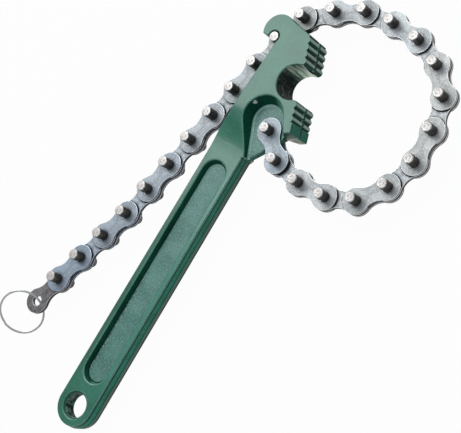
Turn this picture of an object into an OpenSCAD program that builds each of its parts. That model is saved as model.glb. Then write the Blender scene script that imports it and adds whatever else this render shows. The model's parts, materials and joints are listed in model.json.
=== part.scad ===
// Chain oil filter wrench: a forged handle with a toothed jaw, and a plate chain that loops round the
// filter and catches by one of its long pins in the forked hook. The wrench lies flat. The origin is the
// centre of the hanging hole, +Y runs up the handle to the head, +Z is the direction of the chain pins.
// Millimetres.

/* [Grip] */
// Distance from the hanging hole to the pin that anchors the chain
reach = 157; // [140:1:190]
// Width of the grip at the hanging hole, over the parting line of the forging
grip_w = 21.2; // [19:0.1:24]
// Width of the grip where the head begins, over the parting line
neck_w = 20; // [19:0.1:22]
// How much narrower each side of the grip is at its faces than at the parting line
side_draft = 0.5; // [0.2:0.1:1]
// Thickness of the grip over its flanges
grip_t = 8.8; // [8:0.1:11]
// Width of the flange on each side of the recess
flange_w = 2.9; // [2:0.1:4]
// Depth of the recess on each face
recess_depth = 2.6; // [1:0.1:3.2]
// Slope of the recess wall, in millimetres over its depth
recess_draft = 1.2; // [0.2:0.1:2]
// Solid length between the recess and the hanging hole
recess_margin = 6.4; // [4:0.1:12]
// Diameter of the hanging hole
hang_hole_d = 12; // [8:0.1:13]
// Chamfer round the hanging hole
hang_chamfer = 0.8; // [0.2:0.1:1.5]

/* [Head] */
// Thickness of the head
head_t = 17.4; // [14:0.1:20]
// Length of the slope from the grip up to the full thickness of the head
ramp_len = 14.5; // [10:0.5:18]
// Thickness of the boss that the first link straddles
boss_t = 4; // [3:0.1:5]
// Distance of the chain anchor from the middle line of the grip
anchor_x = 14; // [12:0.1:16]
// Slope of the pocket wall round the boss, in millimetres for each millimetre of depth
pocket_draft = 0.45; // [0.1:0.05:0.6]
// Direction in which the pocket opens
pocket_turn = -60; // [-64:1:-54]
// How far each side wall of the pocket turns away from that direction
pocket_flare = 4; // [1:1:6]
// Radius of the gap between the two jaw blocks
gap_r = 8.7; // [7:0.1:9.5]
// Lean of the toothed face of the lower block away from the line of the handle
jaw_lean = 20; // [14:0.5:24]
// Further lean of the upper block
upper_lean = 2.5; // [0:0.5:4]
// Teeth on the upper jaw block; the lower one has a plain foot in place of one of them
jaw_teeth = 4; // [3:1:4]
// Distance from tooth to tooth
tooth_pitch = 3.45; // [3:0.05:3.6]
// Height of the rounded teeth
tooth_depth = 0.9; // [0.5:0.1:1.2]
// Length of the plain foot of the lower block
foot_len = 5.2; // [4:0.1:6]
// Width of the groove that divides the teeth into two rows
row_groove_w = 1.4; // [0.6:0.1:2.4]
// Distance of that groove behind the middle of the head
row_groove_back = 1.3; // [0:0.1:2]

/* [Hook] */
// Hook seat, sideways from the middle line of the grip
hook_x = -7.4; // [-9:0.1:-6]
// Hook seat, along the handle from the chain anchor
hook_rise = 39.4; // [38:0.1:41]
// Radius of the round back of the hook
hook_r = 8.3; // [7.5:0.1:9.5]
// Room round the chain pin in the hook
hook_room = 0.5; // [0.2:0.1:1]
// Room beside the chain in the fork
fork_room = 0.3; // [0.15:0.05:0.8]

/* [Chain] */
// Distance from pin to pin
pitch = 15.875; // [15.5:0.125:16.25]
// Diameter of the round ends of the plates
plate_end_d = 12.6; // [11:0.1:13.4]
// Width of the plates at the waist
waist_w = 8; // [6:0.1:9.5]
// Thickness of an outer plate
outer_plate_t = 1.1; // [0.8:0.1:1.6]
// Thickness of an inner plate
inner_plate_t = 2; // [1.6:0.1:3]
// Diameter of the pins
pin_d = 5; // [4:0.1:6]
// Length of the pins
pin_len = 17.5; // [14:0.1:22]
// Chamfer on the ends of the pins
pin_chamfer = 0.35; // [0.1:0.05:0.8]
// Turn of the chain at the last pin before the hook
closing_turn = 36; // [20:1:50]
// Lean of the hanging tail from the line of the handle
tail_lean = 13; // [12:0.5:20]
// Further lean of the last links of the tail
tail_swing = 6; // [0:0.5:20]

/* [Ring] */
// Middle diameter of the wire ring
ring_d = 22.4; // [16:0.1:28]
// Diameter of the wire
wire_d = 1; // [0.6:0.1:1.6]
// Tilt of the ring out of the plane of the chain
ring_tilt = 40; // [35:1:60]
// Turn of the ring away from the line of the last link
ring_turn = -12; // [-30:1:30]

/* [Hidden] */
$fn = 64;
cut = 1;
pin_fit = 0.05;
side_fit = 0.1;
pin_r = pin_d / 2;
hole_r = pin_r + pin_fit;
end_r = plate_end_d / 2;
waist_r = waist_w / 2;

// Directions and sums
function dir(a) = [cos(a), sin(a)];
function sum(list, n) = n == 0 ? 0 : list[n - 1] + sum(list, n - 1);

// How the loop lies: the turn at each of its pins, up to the last two links, which close it on the hook.
// The whole loop is swung about the anchor until its end is as far from the hook as those two links reach.
loop_turns = [30, 13, 19, 30, 22, 19, 13, 30, 22, 17, 10, 20];
loop_free = len(loop_turns) + 1;
function loop_heading(i) = sum(loop_turns, min(i, len(loop_turns)));
loop_chord = [
    for (i = 0, p = [0, 0]; i <= loop_free; p = p + pitch * dir(loop_heading(i)), i = i + 1) p
][loop_free];
anchor = [anchor_x, reach];
hook_seat = [hook_x, reach + hook_rise];
hook_span = hook_seat - anchor;
closing_len = 2 * pitch * cos(closing_turn / 2);
loop_swing = acos(
    (hook_span * hook_span + loop_chord * loop_chord - closing_len * closing_len)
    / (2 * norm(hook_span) * norm(loop_chord))
);
first_heading = atan2(hook_span.y, hook_span.x) - loop_swing - atan2(loop_chord.y, loop_chord.x);
function link_heading(i) = first_heading + loop_heading(i);
loop_pins = [
    for (i = 0, p = anchor; i <= loop_free; p = p + pitch * dir(link_heading(i)), i = i + 1) p
];
closing_span = hook_seat - loop_pins[loop_free];
closing_side = [closing_span.y, -closing_span.x] / norm(closing_span);
closing_pin = hook_seat - closing_span / 2 + pitch * sin(closing_turn / 2) * closing_side;

// The tail hangs from the hook beside the handle
tail_links = 11;
tail_upper = 7;
tail_first_lean = 3;
function tail_heading(i) = -90 - tail_lean - (i == 0 ? tail_first_lean : i < tail_upper ? 0 : tail_swing);
tail_pins = [
    for (i = 0, p = hook_seat; i <= tail_links; p = p + pitch * dir(tail_heading(i)), i = i + 1) p
];
pins = concat(loop_pins, [closing_pin], tail_pins);
hook_pin = loop_free + 2;
link_count = len(pins) - 1;
link_pairs = link_count / 2;
function heading(k) = atan2(pins[k].y - pins[k - 1].y, pins[k].x - pins[k - 1].x);

// Figure-eight plate: two round ends and a hollowed waist, cut slightly into the ends
flank_cut = 1.04;
flank_r = flank_cut * (pitch * pitch / 4 + waist_r * waist_r - end_r * end_r) / (2 * (end_r - waist_r));
flank_touch = pitch / 2 * flank_r / (flank_r + end_r);
flank_reach = sqrt(flank_r * flank_r - pow(waist_r + flank_r - end_r, 2));
waist_len = flank_touch + flank_reach;

// Layers of the chain
outer_z = inner_plate_t / 2 + side_fit;
first_z = boss_t / 2 + side_fit;
fork_w = 2 * (outer_z + outer_plate_t + fork_room);
fork_reach = end_r + 2 * fork_room;

// Pocket round the boss, open towards the chain
pocket_wall = 1.7;
pocket_shift = 3.55;
pocket_len = 60;
pocket_floor_r = end_r + pocket_wall;
pocket_depth = (head_t - boss_t) / 2;
pocket_top_r = pocket_floor_r + pocket_draft * (pocket_depth + cut);
pocket_centre = anchor + pocket_shift * [-1, 1];

// Toothed jaw blocks, each from its lower corner up along the leaning face, and the gap between them
lower_block_x = 28.1;
lower_block_rise = 3.4;
gap_x = 15.2;
gap_rise = 24.6;
gap_floor_drop = 7.7;
gap_lip_x = 1.1;
gap_lip_rise = 1.2;
gap_lip_len = 3;
gap_lip_slope = 38;
tooth_valley = 0.6;
upper_land = 0.6;
tooth_half = (tooth_pitch - tooth_valley) / 2;
tooth_r = (tooth_half * tooth_half + tooth_depth * tooth_depth) / (2 * tooth_depth);
row_groove_depth = 2 * tooth_depth;
lower_len = foot_len + (jaw_teeth - 1) * tooth_pitch;
upper_len = jaw_teeth * tooth_pitch + upper_land;
lower_face = 90 + jaw_lean;
upper_face = lower_face + upper_lean;
lower_block = [lower_block_x, reach + lower_block_rise];
gap_centre = [gap_x, reach + gap_rise];
upper_block = gap_centre + [gap_lip_x, gap_r + gap_lip_rise];
gap_lip = upper_block - gap_lip_len * dir(gap_lip_slope);
// Step from the crests of the teeth on a face in to their valleys
function sunk(face) = tooth_depth * dir(face - 90);

// Hook and edges of the head
lip_drop = 1;
hook_back_x = 0.7;
hook_back_y = 3.3;
hook_throat = 2.4;
head_top_rise = 11.1;
head_waist = 7.6;
shoulder = 2;
hook_centre = hook_seat + [hook_back_x, hook_back_y];
head_left_top = hook_seat + hook_throat * [1, -1];
head_left_low = [-head_waist, reach - shoulder];
head_top = hook_seat + [hook_throat, head_top_rise];

// Boss that carries the chain, from the right side of the grip round to the lower jaw block
boss_wall = 1.7;
boss_low_x = 1.5;
boss_low_drop = 10.7;
boss_corner_x = 7;
boss_corner_drop = 0.4;
neck_len = 3;
boss_r = end_r + boss_wall;
boss_low = anchor + [boss_low_x, -boss_low_drop];
boss_corner = anchor + [boss_corner_x, -boss_corner_drop];
neck_y = reach - ramp_len - neck_len;
boss_start = [neck_w / 2 + boss_wall, neck_y + boss_wall];

// Recess of the grip: round ends of the same width as its straight part
recess_r = neck_w / 2 - flange_w;
recess_low = hang_hole_d / 2 + recess_margin + recess_r;
recess_high = neck_y - flange_w - recess_margin / 2 - recess_r;

// Ring through the bare hole of the last link
ring_r = ring_d / 2;
ring_heading = heading(link_count) + ring_turn;

// Row of round teeth along a face; the first one begins at the start point
module teeth(start, face, count) {
    for (i = [0:count - 1])
        translate(start + (i + 0.5) * tooth_pitch * dir(face) - tooth_r * dir(face - 90))
            circle(r = tooth_r);
}

module handle_outline() {
    difference() {
        union() {
            polygon(concat(
                [[-grip_w / 2, 0], [grip_w / 2, 0], [neck_w / 2, neck_y]],
                [boss_start, boss_low, boss_corner],
                [lower_block, lower_block + foot_len * dir(lower_face)],
                [lower_block + foot_len * dir(lower_face) - sunk(lower_face)],
                [lower_block + lower_len * dir(lower_face) - sunk(lower_face)],
                [gap_centre - [0, gap_floor_drop], gap_lip],
                [upper_block - sunk(upper_face)],
                [upper_block + upper_len * dir(upper_face) - sunk(upper_face)],
                [head_top, head_left_top, head_left_low],
                [[-neck_w / 2, reach - ramp_len], [-neck_w / 2, neck_y]]
            ));
            teeth(lower_block + foot_len * dir(lower_face), lower_face, jaw_teeth - 1);
            teeth(upper_block, upper_face, jaw_teeth);
            translate(anchor)
                circle(r = boss_r);
            intersection() {
                translate(hook_centre)
                    circle(r = hook_r);
                translate([hook_seat.x - 2 * hook_r, hook_seat.y - lip_drop])
                    square(3 * hook_r);
            }
        }
        translate(gap_centre)
            circle(r = gap_r);
        translate(hook_seat)
            circle(r = pin_r + hook_room);
    }
}

// Thickness of the handle seen from its side: thin grip, slope, thick head
module handle_profile() {
    low = -grip_w;
    high = reach + hook_rise + 2 * hook_r;
    rotate([90, 0, 90])
        linear_extrude(height = 12 * grip_w, center = true)
            polygon([
                [low, -grip_t / 2], [reach - ramp_len, -grip_t / 2],
                [reach, -head_t / 2], [high, -head_t / 2],
                [high, head_t / 2], [reach, head_t / 2],
                [reach - ramp_len, grip_t / 2], [low, grip_t / 2]
            ]);
}

// Sloping channel along +X from the origin, with a round start
module drafted_channel(floor_r, top_r, depth, length) {
    cylinder(r1 = floor_r, r2 = top_r, h = depth);
    rotate([90, 0, 90])
        linear_extrude(height = length)
            polygon([[-floor_r, 0], [floor_r, 0], [top_r, depth], [-top_r, depth]]);
}

module pocket() {
    translate([pocket_centre.x, pocket_centre.y, boss_t / 2])
        for (side = [-1, 1])
            rotate(pocket_turn + side * pocket_flare)
                drafted_channel(pocket_floor_r, pocket_top_r, pocket_depth + cut, pocket_len);
}

// Round end of the grip, widest at the parting line
module grip_end() {
    for (side = [0, 1])
        mirror([0, 0, side])
            cylinder(r1 = grip_w / 2, r2 = grip_w / 2 - side_draft, h = grip_t / 2);
}

// What the draft takes off one side of the front half; the right side ends at the boss
module draft_cut(length) {
    height = head_t / 2 + cut;
    lean = side_draft / (grip_t / 2) * height;
    translate([grip_w / 2, 0, 0])
        rotate(atan((grip_w - neck_w) / 2 / neck_y))
            translate([0, length, 0])
                rotate([90, 0, 0])
                    linear_extrude(height = length)
                        polygon([[0, 0], [cut, 0], [cut, height], [-lean, height]]);
}

module recess() {
    floor_r = recess_r - recess_draft;
    top_r = recess_r + recess_draft * cut / recess_depth;
    depth = recess_depth + cut;
    translate([0, recess_low, grip_t / 2 - recess_depth])
        rotate(90)
            drafted_channel(floor_r, top_r, depth, recess_high - recess_low);
    translate([0, recess_high, grip_t / 2 - recess_depth])
        cylinder(r1 = floor_r, r2 = top_r, h = depth);
}

module hang_hole() {
    r = hang_hole_d / 2;
    cylinder(r = r, h = grip_t + 2 * cut, center = true);
    for (side = [0, 180])
        rotate([side, 0, 0])
            translate([0, 0, grip_t / 2 - hang_chamfer])
                cylinder(r1 = r, r2 = r + hang_chamfer + cut, h = hang_chamfer + cut);
}

// Slot between the two prongs of the hook, wide enough for the chain on its way over the seat
module fork() {
    over = heading(hook_pin);
    under = heading(hook_pin + 1);
    after = heading(hook_pin + 2);
    start = closing_pin + fork_reach * dir(over + 90);
    bend = hook_seat + fork_reach * dir((over + under) / 2 + 90);
    finish = pins[hook_pin + 1] + fork_reach * dir(under + 90);
    leave = pins[hook_pin + 2] + fork_reach * dir(after + 90);
    linear_extrude(height = fork_w, center = true)
        polygon([
            start - pitch * dir(over), start, bend, finish, leave,
            leave - 3 * pitch * [1, 0], closing_pin - 3 * pitch * [1, -1]
        ]);
}

// Groove that runs up a jaw block and parts its teeth into two rows
module row_groove(corner, face, length) {
    translate(corner)
        rotate(face)
            translate([-cut, -cut, -row_groove_back - row_groove_w / 2])
                cube([length + 2 * cut, row_groove_depth + cut, row_groove_w]);
}

module handle() {
    color([0.38, 0.53, 0.48])
        difference() {
            union() {
                intersection() {
                    linear_extrude(height = head_t, center = true)
                        handle_outline();
                    handle_profile();
                }
                grip_end();
            }
            for (side = [0, 1])
                mirror([0, 0, side]) {
                    pocket();
                    recess();
                    draft_cut(neck_y);
                    mirror([1, 0, 0])
                        draft_cut(reach);
                }
            hang_hole();
            fork();
            row_groove(lower_block, lower_face, lower_len);
            row_groove(upper_block, upper_face, upper_len);
            translate(anchor)
                cylinder(r = hole_r, h = head_t, center = true);
        }
}

module plate(thickness) {
    linear_extrude(height = thickness)
        difference() {
            union() {
                for (side = [-1, 1])
                    translate([side * pitch / 2, 0])
                        circle(r = end_r);
                square([waist_len, plate_end_d], center = true);
            }
            for (side = [-1, 1]) {
                translate([0, side * (waist_r + flank_r)])
                    circle(r = flank_r);
                translate([side * pitch / 2, 0])
                    circle(r = hole_r);
            }
        }
}

// Places a link between its two pins
module on_link(k) {
    middle = (pins[k - 1] + pins[k]) / 2;
    translate(middle)
        rotate(heading(k))
            children();
}

// Front and back plate of an outer link; the first one straddles the boss
module outer_plates(i) {
    z = i == 1 ? first_z : outer_z;
    color([0.66, 0.68, 0.72])
        on_link(2 * i - 1)
            for (side = [0, 1])
                mirror([0, 0, side])
                    translate([0, 0, z])
                        plate(outer_plate_t);
}

// The two pins of an outer link
module link_pins(i) {
    half = pin_len / 2;
    color([0.86, 0.85, 0.83])
        for (k = [2 * i - 2, 2 * i - 1])
            translate(pins[k])
                rotate_extrude()
                    polygon([
                        [0, -half], [pin_r - pin_chamfer, -half], [pin_r, pin_chamfer - half],
                        [pin_r, half - pin_chamfer], [pin_r - pin_chamfer, half], [0, half]
                    ]);
}

module inner_plate(i) {
    color([0.6, 0.62, 0.66])
        on_link(2 * i)
            translate([0, 0, -inner_plate_t / 2])
                plate(inner_plate_t);
}

module wire_ring() {
    color([0.75, 0.74, 0.71])
        translate(pins[link_count])
            rotate([-ring_tilt, 0, ring_heading])
                translate([ring_r, 0, 0])
                    rotate_extrude()
                        translate([ring_r, 0])
                            circle(d = wire_d);
}

handle();
for (i = [1:link_pairs]) {
    outer_plates(i);
    link_pins(i);
    inner_plate(i);
}
wire_ring();
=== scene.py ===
# %% [markdown]
# Chain oil filter wrench, dressed in Blender.
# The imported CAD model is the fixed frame: it already has the right sizes and joints, so this lesson
# only gives each piece a finer mesh and a finish. Everything is in metres, with the origin in the
# hanging hole of the grip, +Y up the handle and +Z along the chain pins.

# %% Load the frame
import json
import math
import random
from contextlib import contextmanager

import bmesh
import bpy
from mathutils import Matrix, Vector


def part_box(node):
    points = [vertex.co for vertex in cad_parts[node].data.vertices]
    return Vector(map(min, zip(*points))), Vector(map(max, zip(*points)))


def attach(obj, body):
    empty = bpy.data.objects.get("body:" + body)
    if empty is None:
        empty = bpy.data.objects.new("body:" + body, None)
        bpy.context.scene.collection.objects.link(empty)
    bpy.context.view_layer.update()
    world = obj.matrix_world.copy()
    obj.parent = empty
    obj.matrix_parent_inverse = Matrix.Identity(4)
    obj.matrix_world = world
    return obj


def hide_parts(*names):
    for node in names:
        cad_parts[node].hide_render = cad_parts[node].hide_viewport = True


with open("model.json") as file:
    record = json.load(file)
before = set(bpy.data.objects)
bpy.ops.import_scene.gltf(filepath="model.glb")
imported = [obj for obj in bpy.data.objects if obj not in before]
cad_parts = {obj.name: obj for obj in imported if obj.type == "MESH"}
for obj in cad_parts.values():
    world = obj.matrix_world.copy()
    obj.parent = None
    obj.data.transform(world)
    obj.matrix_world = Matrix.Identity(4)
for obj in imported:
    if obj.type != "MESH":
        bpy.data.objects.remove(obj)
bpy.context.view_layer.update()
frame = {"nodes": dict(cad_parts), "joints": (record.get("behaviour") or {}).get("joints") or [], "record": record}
MM = 0.001

# %% [markdown]
# The camera stands where the photographer stood: in front of the tool, to the right of it, looking down
# on it with a long lens. It could be aimed by eye, but a chain with so many pins shows every error. So
# its place was found by laying the pins and the outline of the CAD model over the picture, and the
# numbers are a measured result. The lens is shifted a little, because the picture is a cut-out of a
# larger frame.

# %% Camera
EYE = Vector((0.39317, 0.13237, 0.56627))
RIGHT = Vector((0.71377, 0.51276, -0.47709))
UP = Vector((-0.43017, 0.85851, 0.27915))
BACK = Vector((0.55272, 0.00598, 0.83335))
LENS = 114.23
SENSOR_WIDTH = 36
SHIFT_X = -0.034
SHIFT_Y = -0.060

scene = bpy.context.scene
camera_data = bpy.data.cameras.new("photo_camera")
camera_data.lens = LENS
camera_data.sensor_width = SENSOR_WIDTH
camera_data.sensor_fit = "HORIZONTAL"
camera_data.shift_x = SHIFT_X
camera_data.shift_y = SHIFT_Y
camera = bpy.data.objects.new("photo_camera", camera_data)
turn = Matrix((RIGHT, UP, BACK)).transposed().to_4x4()
camera.matrix_world = Matrix.Translation(EYE) @ turn
scene.collection.objects.link(camera)
bpy.context.scene.camera = camera
print("camera at", tuple(round(v, 4) for v in EYE), "lens", LENS)

# %% [markdown]
# Nodes of a material and nodes of a geometry tree are made the same way, so one helper adds a node,
# sets its options, and fills its inputs with either a plain value or a link from another node. The
# other helpers stand for the nodes that are used most: arithmetic, a range spread onto another, the
# three axes of a place, and a blend of two colours.

# %% Helpers for node trees
def add(tree, kind, options=None, inputs=None):
    made = tree.nodes.new(kind)
    for name, value in (options or {}).items():
        setattr(made, name, value)
    for name, value in (inputs or {}).items():
        socket = made.inputs[name]
        if isinstance(value, bpy.types.NodeSocket):
            tree.links.new(value, socket)
        else:
            socket.default_value = value
    return made


def maths(tree, operation, *values):
    return add(tree, "ShaderNodeMath", {"operation": operation}, dict(enumerate(values))).outputs[0]


def spread(tree, value, low, high, to_low=0.0, to_high=1.0):
    made = add(tree, "ShaderNodeMapRange", {"clamp": True}, {
        "Value": value, "From Min": low, "From Max": high, "To Min": to_low, "To Max": to_high})
    return made.outputs["Result"]


def axes(tree, place):
    return add(tree, "ShaderNodeSeparateXYZ", inputs={"Vector": place}).outputs


def blend_colour(tree, share, first, second, kind="MIX"):
    made = add(tree, "ShaderNodeMix", {"data_type": "RGBA", "blend_type": kind}, {
        0: share, 6: first, 7: second})
    return made.outputs[2]


# %% [markdown]
# The studio is plain: a white table, a room that is brighter overhead than at the sides, and one big
# soft box behind the left shoulder of the tool. Its mirror image lies in the upper half of the painted
# front, which is what veils the head and leaves the end of the grip deep green. The table could be made
# white by more light, but that would bleach the tool. So it looks white to the camera and in
# reflections, and lights the tool more gently than it looks, and the colours come out as they are
# written.

# %% Room and table
FLOOR_Z = -8.8 * MM
FLOOR_SIZE = 8.0
FLOOR_MIDDLE = 0.1
ROOM_SIDE = 0.22
ROOM_TOP = 0.52
ROOM_TINT = (0.88, 0.95, 1.0, 1)
TABLE_WHITE = 0.97
TABLE_GREY = (0.7, 0.7, 0.7, 1)

scene.view_settings.view_transform = "Standard"

world = bpy.data.worlds.new("pale_room")
scene.world = world
world.use_nodes = True
room = world.node_tree
room.nodes.clear()
direction = add(room, "ShaderNodeTexCoord").outputs["Generated"]
strength = spread(room, axes(room, direction)["Z"], 0.0, 1.0, ROOM_SIDE, ROOM_TOP)
glow = add(room, "ShaderNodeBackground", inputs={"Color": ROOM_TINT, "Strength": strength})
add(room, "ShaderNodeOutputWorld", inputs={"Surface": glow.outputs[0]})

table_paint = bpy.data.materials.new("white_table")
table_paint.use_nodes = True
tree = table_paint.node_tree
tree.nodes.clear()
ray = add(tree, "ShaderNodeLightPath")
seen = maths(tree, "MAXIMUM", ray.outputs["Is Camera Ray"], ray.outputs["Is Glossy Ray"])
seen = maths(tree, "MAXIMUM", seen, ray.outputs["Is Transmission Ray"])
matt = add(tree, "ShaderNodeBsdfDiffuse", inputs={"Color": TABLE_GREY})
white = add(tree, "ShaderNodeEmission", inputs={"Color": (1, 1, 1, 1), "Strength": 1.0})
share = maths(tree, "MULTIPLY", seen, TABLE_WHITE)
table_mix = add(tree, "ShaderNodeMixShader", inputs={
    0: share, 1: matt.outputs[0], 2: white.outputs[0]})
add(tree, "ShaderNodeOutputMaterial", inputs={"Surface": table_mix.outputs[0]})

half = FLOOR_SIZE / 2
table_mesh = bpy.data.meshes.new("table")
corners = [(-half, -half), (half, -half), (half, half), (-half, half)]
table_mesh.from_pydata([(x, y + FLOOR_MIDDLE, FLOOR_Z) for x, y in corners], [], [(0, 1, 2, 3)])
table_mesh.materials.append(table_paint)
table = bpy.data.objects.new("table", table_mesh)
scene.collection.objects.link(table)
print("table at", FLOOR_Z)

# %% Soft box
BOX_AIM = Vector((0.01, 0.15, 0.0))
BOX_DIRECTION = Vector((-0.58, 0.31, 0.76)).normalized()
BOX_DISTANCE = 0.9
BOX_WIDTH = 0.70
BOX_HEIGHT = 0.62
BOX_RADIANCE = 2.8
BOX_TINT = (0.97, 1.0, 0.99)

soft_data = bpy.data.lights.new("soft_box", "AREA")
soft_data.shape = "RECTANGLE"
soft_data.color = BOX_TINT
soft_data.size = BOX_WIDTH
soft_data.size_y = BOX_HEIGHT
soft_data.energy = BOX_RADIANCE * math.pi * BOX_WIDTH * BOX_HEIGHT
soft = bpy.data.objects.new("soft_box", soft_data)
soft.location = BOX_AIM + BOX_DIRECTION * BOX_DISTANCE
soft.rotation_euler = BOX_DIRECTION.to_track_quat("Z", "Y").to_euler()
scene.collection.objects.link(soft)
print("soft box power", round(soft_data.energy, 2))

# %% [markdown]
# Two effects return in several finishes, so each is a shader node group with named inputs. `clouding`
# breaks a colour into soft patches, fine specks and an even grain, as on dipped enamel or zinc.
# `scoring` draws thin lines along one direction, as left by a cutter or a rolling mill.

# %% Shared effects
PATCH_RANGE = (0.35, 0.65)
SPECK_RANGE = (0.58, 0.72)
GRAIN_RANGE = (0.3, 0.7)
LINE_RANGE = (0.3, 0.7)
PATCH_HEIGHT = 0.4


def effect(name, inputs, outputs):
    group = bpy.data.node_groups.new(name, "ShaderNodeTree")
    for label, kind, value in inputs:
        socket = group.interface.new_socket(label, in_out="INPUT", socket_type=kind)
        socket.default_value = value
    for label in outputs:
        group.interface.new_socket(label, in_out="OUTPUT", socket_type="NodeSocketFloat")
    start = group.nodes.new("NodeGroupInput")
    end = group.nodes.new("NodeGroupOutput")
    return group, start.outputs, end.inputs


def noise(tree, place, scale, detail=3.0, rough=0.55):
    made = add(tree, "ShaderNodeTexNoise", inputs={
        "Vector": place, "Scale": scale, "Detail": detail, "Roughness": rough})
    return made.outputs["Fac"]


clouding, given, result = effect(
    "clouding",
    [("Place", "NodeSocketVector", (0, 0, 0)), ("Patch Scale", "NodeSocketFloat", 60.0),
     ("Speck Scale", "NodeSocketFloat", 900.0)],
    ["Patches", "Specks", "Grain", "Height"])
patches = noise(clouding, given["Place"], given["Patch Scale"])
specks = noise(clouding, given["Place"], given["Speck Scale"], detail=2.0)
clouding.links.new(spread(clouding, patches, *PATCH_RANGE), result["Patches"])
clouding.links.new(spread(clouding, specks, *SPECK_RANGE), result["Specks"])
clouding.links.new(spread(clouding, specks, *GRAIN_RANGE, -0.5, 0.5), result["Grain"])
clouding.links.new(maths(clouding, "MULTIPLY_ADD", patches, PATCH_HEIGHT, specks), result["Height"])

scoring, given, result = effect(
    "scoring",
    [("Place", "NodeSocketVector", (0, 0, 0)), ("Stretch", "NodeSocketVector", (40, 900, 900))],
    ["Lines", "Height"])
stretched = add(scoring, "ShaderNodeVectorMath", {"operation": "MULTIPLY"}, {
    0: given["Place"], 1: given["Stretch"]}).outputs[0]
lines = noise(scoring, stretched, scale=1.0, detail=4.0, rough=0.6)
scoring.links.new(spread(scoring, lines, *LINE_RANGE), result["Lines"])
scoring.links.new(lines, result["Height"])
print("effects", [g.name for g in (clouding, scoring)])

# %% [markdown]
# Every finish starts in the same way: an empty material, the place on the piece that its patterns
# follow, and one Principled surface. Patterns on the object's own coordinates need no unwrapping and
# fit any size. The chain's links lie in all directions, so they bring their own place in an attribute
# instead.

# %% Helpers for finishes
def finish(name, place_attribute=None):
    material = bpy.data.materials.new(name)
    material.use_nodes = True
    tree = material.node_tree
    tree.nodes.clear()
    if place_attribute:
        place = add(tree, "ShaderNodeAttribute", {"attribute_name": place_attribute}).outputs["Vector"]
    else:
        place = add(tree, "ShaderNodeTexCoord").outputs["Object"]
    surface = add(tree, "ShaderNodeBsdfPrincipled")
    add(tree, "ShaderNodeOutputMaterial", inputs={"Surface": surface.outputs[0]})
    return material, tree, place, surface


def use_effect(tree, group, inputs):
    return add(tree, "ShaderNodeGroup", {"node_tree": group}, inputs).outputs


def raise_bumps(tree, surface, height, strength, distance, below=None):
    bump = add(tree, "ShaderNodeBump", inputs={
        "Strength": strength, "Distance": distance, "Height": height})
    if below is not None:
        tree.links.new(below, bump.inputs["Normal"])
        tree.links.new(below, surface.inputs["Coat Normal"])
    tree.links.new(bump.outputs[0], surface.inputs["Normal"])


# %% [markdown]
# The handle is dipped in green enamel, a deep bluish green under a clear, slightly dull gloss. One
# function makes most coats of it, and a coat may add marks of its own. On the front of the grip one
# flange has a painted highlight, a paler green, and the other a painted shade, a darker green. A
# faint bump at the foot of the ramp makes the light turn a little later there than the shape alone does.

# %% Painted light and bump of the front
PAINTED_FLANGE_START = (10 * MM, 22 * MM)
PAINTED_FLANGE_END = (126 * MM, 142 * MM)
FLANGE_IN = 6.0 * MM
FLANGE_OUT = 8.5 * MM
FLANGE_HIGHLIGHT_SHARE = 0.8
FLANGE_HIGHLIGHT_GREEN = (0.055, 0.300, 0.220, 1)
FLANGE_SHADE_SHARE = 0.6
FLANGE_SHADE_GREEN = (0.002, 0.095, 0.052, 1)
RAMP_LOW = 142.5 * MM
FOOT_BELOW = 6.0 * MM
FOOT_ABOVE = 9.0 * MM
FOOT_TURN = 6.0


# Painted light: the flange on +X gets a painted highlight, and the flange on -X a painted shade.
def painted_flange_light(tree, place, colour):
    axis = axes(tree, place)
    grip = maths(tree, "MULTIPLY", spread(tree, axis["Y"], *PAINTED_FLANGE_START),
                 spread(tree, axis["Y"], *PAINTED_FLANGE_END, 1.0, 0.0))
    painted_highlight = maths(tree, "MULTIPLY", grip, spread(tree, axis["X"], FLANGE_IN, FLANGE_OUT, 0.0, FLANGE_HIGHLIGHT_SHARE))
    colour = blend_colour(tree, painted_highlight, colour, FLANGE_HIGHLIGHT_GREEN)
    painted_shade = maths(tree, "MULTIPLY", grip, spread(tree, axis["X"], -FLANGE_IN, -FLANGE_OUT, 0.0, FLANGE_SHADE_SHARE))
    return blend_colour(tree, painted_shade, colour, FLANGE_SHADE_GREEN)


def soft_turn(tree, away, reach, degrees):
    left = spread(tree, away, 0.0, reach, 1.0, 0.0)
    steep = math.tan(math.radians(degrees)) * abs(reach) / 2
    return maths(tree, "MULTIPLY_ADD", maths(tree, "MULTIPLY", left, left), steep, -steep)


def soft_foot(tree, place):
    up = maths(tree, "SUBTRACT", axes(tree, place)["Y"], RAMP_LOW)
    foot = maths(tree, "ADD", soft_turn(tree, up, -FOOT_BELOW, -FOOT_TURN),
                 soft_turn(tree, up, FOOT_ABOVE, FOOT_TURN))
    return add(tree, "ShaderNodeBump", inputs={
        "Strength": 1.0, "Distance": 1.0, "Height": foot}).outputs[0]


# %% [markdown]
# The cast floors of the pocket and of the recess were never dressed, so the enamel is paler and rougher
# there, with dark and pale specks along one border of the recess. Walls that face away from the soft box
# have a duller coat, painted darker as shade, and the wall of the pocket has a painted white glint.

# %% Marks of the cast floors, and the painted glint on the pocket wall
BORDER_X = (-3.4 * MM, -5.6 * MM)
BORDER_Y = (85 * MM, 45 * MM)
DOT_SCALE = 1500.0
DARK_DOTS = (0.50, 0.42)
DARK_DOT = (0.003, 0.060, 0.040, 1)
PALE_DOTS = (0.58, 0.64)
PALE_DOT = (0.550, 0.720, 0.660, 1)
GLINT_AT = (1.4 * MM, 165.3 * MM, 6.8 * MM)
GLINT_REACH = (1.9 * MM, 2.3 * MM)
GLINT_RAGGED = 2.4 * MM
GLINT_SCALE = 1600.0
GLINT_WHITE = (0.85, 0.90, 0.87, 1)


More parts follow.
